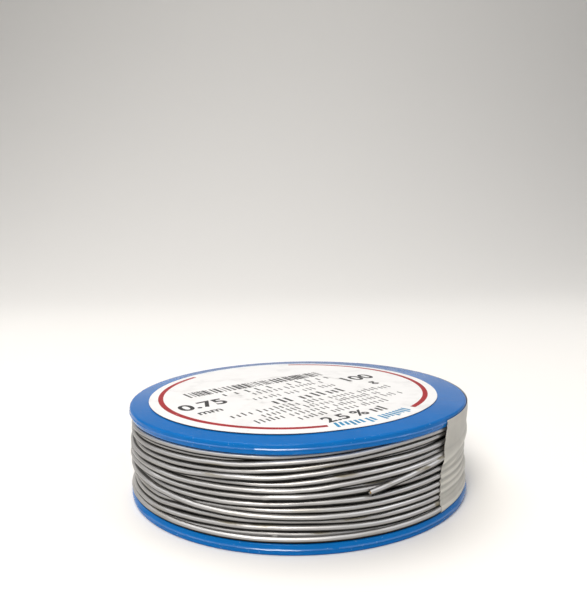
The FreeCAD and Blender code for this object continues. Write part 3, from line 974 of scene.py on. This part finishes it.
class SOLDER_OT_label(bpy.types.Operator):
    """Stick the round paper label over the bore, with its ring, numbers and rules"""

    bl_idname = "solder_spool.label"
    bl_label = "Face Label"

    def execute(self, context):
        sizes, colours = context.scene.spool_sizes, context.scene.spool_colours
        bottom, middle_r = LABEL_LOW.z, 2.0 * MM
        outline = [(middle_r, bottom), (BORE_R * 0.9, bottom), (LABEL_R * 0.7, bottom), (LABEL_R, bottom)]
        outline += [(LABEL_R, self.top(LABEL_R))]
        radii = [LABEL_R * share for share in (0.965, 0.9, 0.8, 0.7, 0.6, 0.52)]
        radii += [BORE_R + step * MM for step in (0.6, 0.1, -0.4, -0.9, -1.6, -3.5)] + [middle_r]
        outline += [(r, self.top(r)) for r in radii]
        label = turn_outline("paper_label", outline, 160, closed=False)
        for height in (bottom, self.top(middle_r)):
            fill_ring(label, middle_r, height)
        face_outwards(label)
        self.lay(label)
        label.data.materials.append(paper_material(colours.paper))
        prints = self.print_label(sizes, colours)
        label = join("paper_label", [label, *prints])
        finish_piece(smooth(label, 40), None, "label_paper", "face_label")
        return {"FINISHED"}

    def top(self, radius):
        """The height of the paper's face: it has sunk a little where the bore is under it."""
        sunk = np.interp(radius, [BORE_R - 1.6 * MM, BORE_R - 0.4 * MM, BORE_R + 0.1 * MM], [0.03, 0.015, 0])
        return LABEL_HIGH.z - (0.014 + float(sunk)) * MM

    def lay(self, piece):
        """Puts a piece that was made about the label's middle in its place, on the warped flange."""
        for vertex in piece.data.vertices:
            vertex.co.x += LABEL_CENTRE.x
            vertex.co.y += LABEL_CENTRE.y
            vertex.co.z += warp(vertex.co.x, vertex.co.y)

    def print_label(self, sizes, colours):
        """Plain numbers, strokes in rows where the text would be, a field of bars, and the rings."""
        black = [
            self.text(sizes.wire_number, 4.1, (-14.5, -0.7)), self.text("mm", 2.3, (-15.3, -3.7)),
            self.text(sizes.weight_number, 4.1, (12.3, -1.2)), self.text("g", 2.6, (12.3, -4.4)),
            self.text(sizes.flux_number + " %", 3.1, (-2.9, -16.85))]
        draw = np.random.default_rng(61)
        for left, right, foot, height, width, pitch in PRINT_ROWS:
            strokes, x = [], left
            while x + width < right:
                for _ in range(draw.integers(3, 9)):
                    if x + width < right:
                        tall = height * draw.choice((0.72, 0.72, 1.0))
                        strokes.append((x, x + width, foot, foot + tall))
                    x += pitch * draw.uniform(0.85, 1.2)
                x += pitch * 0.8
            black.append(self.strokes(strokes))
        bars, x = [], BARS_LEFT
        while x < BARS_RIGHT:
            width = BAR_MODULE * draw.choice((1, 1, 2, 3))
            bars.append((x, x + width, BARS_FOOT, BARS_HEAD))
            x += width + BAR_MODULE * draw.choice((1, 1, 2, 3))
        black.append(self.strokes(bars, 6))
        red = [self.arc(*RED_RING, first, last) for first, last in RED_ARCS]
        blue = []
        for first, last in DASH_GROUPS:
            for i, start in enumerate(np.arange(first, last, DASH_PITCH)):
                head = DASH_HEAD if i % 3 else TALL_DASH_HEAD
                blue.append(self.arc(DASH_FOOT, head, start, start + DASH_WIDTH))
        prints = []
        for name, pieces, colour in (
                ("black_ink", black, colours.black_ink), ("red_ink", red, colours.red_ink),
                ("blue_ink", blue, colours.blue_ink)):
            ink = join(name, pieces)
            ink.rotation_euler = (0, 0, sizes.label_turn)
            if name == "red_ink":
                ink.location = (0, RING_OFFSET, 0)
            place_in_mesh(ink)
            for vertex in ink.data.vertices:
                vertex.co.z += self.top(vertex.co.xy.length) + 0.003 * MM
            self.lay(ink)
            ink.data.materials.clear()
            ink.data.materials.append(ink_material(name, colour, colours.paper))
            prints.append(ink)
        return prints

    def text(self, body, size, place):
        """Plain characters of a size in mm, centred above a place in mm, as a thin layer of ink."""
        start_fresh()
        bpy.ops.object.text_add()
        text = bpy.context.object
        text.data.body = body
        text.data.size = size * MM
        text.data.align_x = "CENTER"
        text.data.offset = 0.022 * size * MM
        text.data.extrude = INK_THICKNESS / 2
        bpy.ops.object.convert(target="MESH")
        text = bpy.context.object
        text.location = (place[0] * MM, place[1] * MM, 0)
        place_in_mesh(text)
        return face_outwards(text)

    def strokes(self, boxes, rows=1):
        """Upright strokes, from x to x and y to y in mm: a grid of which every other column stays."""
        columns = 2 * len(boxes) - 1
        sheet = grid(columns, rows)
        sides = [x * MM for box in boxes for x in box[:2]]
        for vertex in sheet.data.vertices:
            i = int(round((vertex.co.x + 1) / 2 * columns))
            low, high = boxes[i // 2][2:]
            share = (vertex.co.y + 1) / 2
            vertex.co = (sides[i], (low + (high - low) * share) * MM, 0)
        gaps = [(box[1] * MM, after[0] * MM) for box, after in zip(boxes, boxes[1:])]
        pick(sheet, "FACE", lambda f: any(left < f.center.x < right for left, right in gaps))
        bpy.ops.mesh.delete(type="FACE")
        bpy.ops.object.mode_set(mode="OBJECT")
        return thicken(sheet, INK_THICKNESS)

    def arc(self, inner, outer, first, last):
        """A curved band between two radii in mm, from one azimuth to another."""
        columns = max(2, int((last - first) / 1.5))
        sheet = grid(columns, 1)
        for vertex in sheet.data.vertices:
            along, across = (vertex.co.x + 1) / 2, (vertex.co.y + 1) / 2
            vertex.co = place_at(first + (last - first) * along, (inner + (outer - inner) * across) * MM)
        return thicken(sheet, INK_THICKNESS)


class SOLDER_OT_tape(bpy.types.Operator):
    """Hold the free end with a strip of matte film, from the upper rim over the winding"""

    bl_idname = "solder_spool.tape"
    bl_label = "Holding Tape"

    def execute(self, context):
        sizes, colours = context.scene.spool_sizes, context.scene.spool_colours
        columns, rows = TAPE_COLUMNS, TAPE_ROWS
        tape = grid(columns, rows)
        tape.name = "holding_tape_film"
        heights = np.linspace(TAPE_FOOT, TAPE_HEAD, rows + 1)
        azimuths = np.linspace(sizes.tape_start, sizes.tape_end, columns + 1)
        reach = self.drape(azimuths, heights, sizes.wire_diameter)
        # The film's relief over the strands is kept as the ridge attribute, which the film's material paints
        # as shade and highlight
        padded = np.pad(reach, ((0, 0), (RIDGE_ROWS // 2, RIDGE_ROWS // 2)), mode="edge")
        ridges = reach - np.mean([padded[:, k:k + rows + 1] for k in range(RIDGE_ROWS)], axis=0)
        ridge = tape.data.attributes.new("ridge", "FLOAT", "POINT")
        draw = np.random.default_rng(41)
        left = draw.normal(0, 0.14, rows + 1)
        right = draw.normal(0, 0.12, rows + 1)
        for vertex in tape.data.vertices:
            i = int(round((vertex.co.x + 1) / 2 * columns))
            j = int(round((vertex.co.y + 1) / 2 * rows))
            near_left, near_right = max(0, 1 - i / 2), max(0, 1 - (columns - i) / 2)
            lean = TAPE_LEAN * (1 - heights[j] / SPOOL_TOP) * max(0, 1 - i / 12)
            azimuth = azimuths[i] + lean + left[j] * near_left + right[j] * near_right
            vertex.co = place_at(azimuth, reach[i, j], heights[j])
            ridge.data[vertex.index].value = ridges[i, j] / MM
        thicken(tape, sizes.tape_thickness)
        finish_piece(smooth(tape), tape_material(colours.tape), "tape_film", "holding_tape")
        return {"FINISHED"}

    def drape(self, azimuths, heights, wire_d):
        """How far from the axis the film's middle lies: over the rim, and in bridges over the strands."""
        at, wire_height, wire_radius = outer_wire(wire_d)
        out = np.zeros((len(azimuths), len(heights)))
        fine = np.linspace(heights[0], heights[-1], FINE_LEVELS)
        bridge_r = np.interp(fine, BRIDGE_HEIGHTS, BRIDGE_RADII)
        for i, azimuth in enumerate(azimuths):
            turns = np.arange(azimuth, at[-1], 360)
            strand_z = np.interp(turns, at, wire_height)
            strand_r = np.interp(turns, at, wire_radius)
            off = np.clip((wire_d / 2) ** 2 - (fine[:, None] - strand_z) ** 2, 0, None)
            surface = np.where(off > 0, strand_r + np.sqrt(off), LAYER_R - 0.2 * MM).max(1)
            spread = surface[None, :] - (fine[:, None] - fine[None, :]) ** 2 / (2 * bridge_r[:, None])
            rim_low = SPOOL_TOP - RIM_THICKNESS + warp(*place_at(azimuth, FLANGE_R)[:2])
            tent = FLANGE_R - 0.10 * np.clip(rim_low - fine, 0, None)
            film = np.where(fine > rim_low, FLANGE_R, np.maximum(spread.max(1), tent))
            out[i] = np.interp(heights, fine, film)
        for _ in range(6):
            out[1:-1] = (out[:-2] + 2 * out[1:-1] + out[2:]) / 4
        for first, last, foot, rise, proud in CREASES:
            share = (azimuths - first) / (last - first)
            along = np.clip(3 * share, 0, 1) * np.clip(3 - 3 * share, 0, 1)
            away = heights[None, :] / MM - (foot + rise * share[:, None])
            out += proud * MM * along[:, None] * np.exp(-np.where(away > 0, away / 0.5, away / 0.16) ** 2)
        return np.minimum(out, FLANGE_R) + 0.045 * MM


class SOLDER_OT_stage(bpy.types.Operator):
    """Set up the pale floor, the backdrop, the lamps and the camera"""

    bl_idname = "solder_spool.stage"
    bl_label = "Stage"

    def execute(self, context):
        self.backdrop(context.scene.spool_colours.floor)
        self.lamps()
        self.camera()
        context.scene.view_settings.view_transform = "Standard"
        return {"FINISHED"}

    def backdrop(self, colour):
        """A floor that turns up into a backdrop behind the spool."""
        start_fresh()
        bpy.ops.mesh.primitive_plane_add(size=1, location=(0, 0, -0.02 * MM))
        floor = bpy.context.object
        floor.name = "floor_and_backdrop"
        floor.scale = (FLOOR_WIDTH, FLOOR_DEPTH, 1)
        place_in_mesh(floor)
        pick(floor, "EDGE", lambda e: all(floor.data.vertices[i].co.y > 0.5 for i in e.vertices))
        bpy.ops.mesh.extrude_region_move(TRANSFORM_OT_translate={"value": (0, 0, BACKDROP_HEIGHT)})
        bpy.ops.object.mode_set(mode="OBJECT")
        pick(floor, "EDGE", lambda e: all(
            floor.data.vertices[i].co.y > 0.5 and floor.data.vertices[i].co.z < 0.1 for i in e.vertices))
        bpy.ops.mesh.bevel(offset=BACKDROP_SWEEP, segments=24, profile=0.5)
        bpy.ops.object.mode_set(mode="OBJECT")
        smooth(floor)
        n = Nodes("pale_floor")
        # Painted shade: the floor and backdrop grow up to 4 % darker with height, fully so from 420 mm up
        shade = n.mix(n.step(n.height(), 0.0, 420.0), colour, tint(colour, 0.96))
        floor.data.materials.append(n.shade(Base_Color=shade, Roughness=0.85, Specular_IOR_Level=0.1))

    def lamps(self):
        world = bpy.data.worlds.new("studio_air")
        bpy.context.scene.world = world
        world.use_nodes = True
        background = world.node_tree.nodes["Background"]
        background.inputs["Color"].default_value = AIR_COLOUR
        rays = world.node_tree.nodes.new("ShaderNodeLightPath").outputs
        seen = None
        for kind in ("Is Camera Ray", "Is Glossy Ray", "Is Transmission Ray"):
            total = world.node_tree.nodes.new("ShaderNodeMath")
            total.operation, total.use_clamp = "ADD", True
            world.node_tree.links.new(rays[kind], total.inputs[0])
            if seen is None:
                total.inputs[1].default_value = AIR_LIGHT
            else:
                world.node_tree.links.new(seen, total.inputs[1])
            seen = total.outputs[0]
        world.node_tree.links.new(seen, background.inputs["Strength"])
        for name, place, size, power, colour in LAMPS:
            start_fresh()
            bpy.ops.object.light_add(type="AREA", location=place)
            lamp = bpy.context.object
            lamp.name = name + "_lamp"
            lamp.data.shape = "DISK"
            lamp.data.size = size
            lamp.data.energy = power
            lamp.data.color = colour
            aim = Vector(BACKDROP_AIM if name == "backdrop" else SPOOL_AIM)
            lamp.rotation_euler = (aim - Vector(place)).to_track_quat("-Z", "Y").to_euler()

    def camera(self):
        """The photograph's camera: where it stands, how it is turned, and its focal length in pixels."""
        side = Matrix.Rotation(math.radians(CAMERA_AZIMUTH), 3, "Z")
        place = side @ Vector(CAMERA_PLACE) * MM
        tilt, roll = math.radians(CAMERA_TILT), math.radians(CAMERA_ROLL)
        right = side @ Vector((1, 0, 0))
        up = side @ Vector((0, math.sin(tilt), math.cos(tilt)))
        back = side @ Vector((0, -math.cos(tilt), math.sin(tilt)))
        rolled_right = right * math.cos(roll) + up * math.sin(roll)
        rolled_up = up * math.cos(roll) - right * math.sin(roll)
        start_fresh()
        bpy.ops.object.camera_add()
        camera = bpy.context.object
        turn = Matrix((rolled_right, rolled_up, back)).transposed().to_4x4()
        camera.matrix_world = Matrix.Translation(place) @ turn
        camera.data.sensor_width = 36
        camera.data.lens = FOCAL_PIXELS * camera.data.sensor_width / PHOTO_HEIGHT
        camera.data.clip_start = 0.005
        bpy.context.scene.camera = camera


class SOLDER_PT_panel(bpy.types.Panel):
    """The spool's sizes, colours and parts"""

    bl_idname = "SOLDER_PT_panel"
    bl_label = "Solder Spool"
    bl_space_type = "VIEW_3D"
    bl_region_type = "UI"
    bl_category = "Solder Spool"

    def draw(self, context):
        layout = self.layout
        for group in (context.scene.spool_sizes, context.scene.spool_colours):
            box = layout.box()
            for name in group.bl_rna.properties.keys():
                if name not in ("rna_type", "name"):
                    box.prop(group, name)
        for operator in OPERATORS:
            layout.operator(operator.bl_idname)


OPERATORS = (
    SOLDER_OT_moulding, SOLDER_OT_winding, SOLDER_OT_free_end, SOLDER_OT_wire_start, SOLDER_OT_label,
    SOLDER_OT_tape, SOLDER_OT_stage)
CLASSES = (SpoolSizes, SpoolColours, *OPERATORS, SOLDER_PT_panel)


def register():
    for item in CLASSES:
        bpy.utils.register_class(item)
    bpy.types.Scene.spool_sizes = bpy.props.PointerProperty(type=SpoolSizes)
    bpy.types.Scene.spool_colours = bpy.props.PointerProperty(type=SpoolColours)


def unregister():
    del bpy.types.Scene.spool_colours
    del bpy.types.Scene.spool_sizes
    for item in reversed(CLASSES):
        bpy.utils.unregister_class(item)


def main():
    register()
    bpy.ops.solder_spool.moulding()
    bpy.ops.solder_spool.winding()
    bpy.ops.solder_spool.free_end()
    bpy.ops.solder_spool.wire_start()
    bpy.ops.solder_spool.label()
    bpy.ops.solder_spool.tape()
    bpy.ops.solder_spool.stage()


if __name__ == "__main__":
    main()
